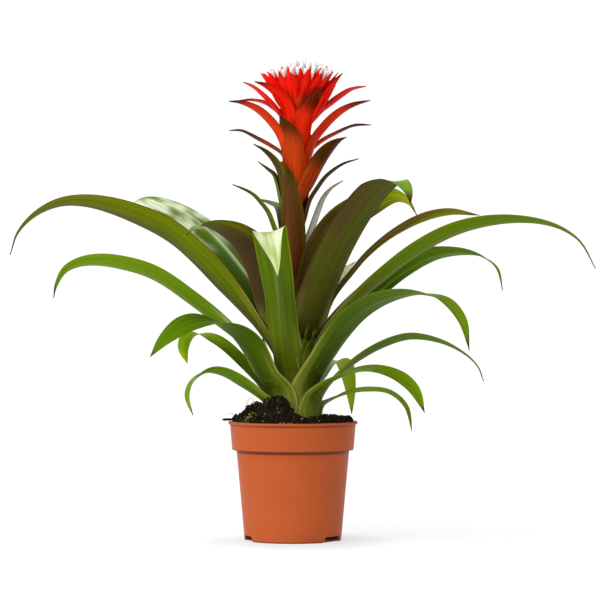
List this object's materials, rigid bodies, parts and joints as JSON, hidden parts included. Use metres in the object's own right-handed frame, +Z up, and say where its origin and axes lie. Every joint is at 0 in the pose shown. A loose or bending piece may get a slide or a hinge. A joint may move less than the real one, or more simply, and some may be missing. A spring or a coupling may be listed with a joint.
{
  "type": "potted bromeliad",
  "caption": "Flowering rosette plant with arching strap leaves and a red bract head on a stalk, growing in potting mix in a tapered plastic nursery pot.",
  "frame": {"origin": "centre of the pot's flat base, on the pot's axis", "axes": "+Z up along the pot's axis; -Y is the front that the picture shows; +X to the right, along the plant's widest spread"},
  "size_m": [0.544, 0.3184, 0.4476],
  "materials": {
    "pot_plastic": "moulded terracotta-coloured plastic, satin",
    "potting_mix": "dark peat and bark, crumbly",
    "stalk_bracts": "maroon and green bracts, smooth",
    "red_bracts": "waxy red bracts",
    "white_florets": "soft white petal tips",
    "green_leaf": "glossy green leaf with fine lengthwise veins",
    "dark_leaf": "olive leaf flushed maroon on its underside"
  },
  "bodies": {
    "root": {"pot": "pot_plastic", "soil": "potting_mix", "stalk": "stalk_bracts", "flower_head": "red_bracts", "florets": "white_florets", "leaf_01": "dark_leaf", "leaf_02": "green_leaf", "leaf_03": "dark_leaf", "leaf_04": "dark_leaf", "leaf_05": "green_leaf", "leaf_06": "dark_leaf", "leaf_07": "dark_leaf", "leaf_08": "green_leaf", "leaf_09": "green_leaf", "leaf_10": "green_leaf", "leaf_11": "green_leaf", "leaf_12": "green_leaf", "leaf_13": "green_leaf", "leaf_14": "green_leaf", "leaf_15": "green_leaf", "leaf_16": "green_leaf", "leaf_17": "green_leaf", "leaf_18": "green_leaf", "leaf_19": "green_leaf", "leaf_20": "green_leaf", "leaf_21": "green_leaf", "leaf_22": "green_leaf"}
  },
  "joints": []
}
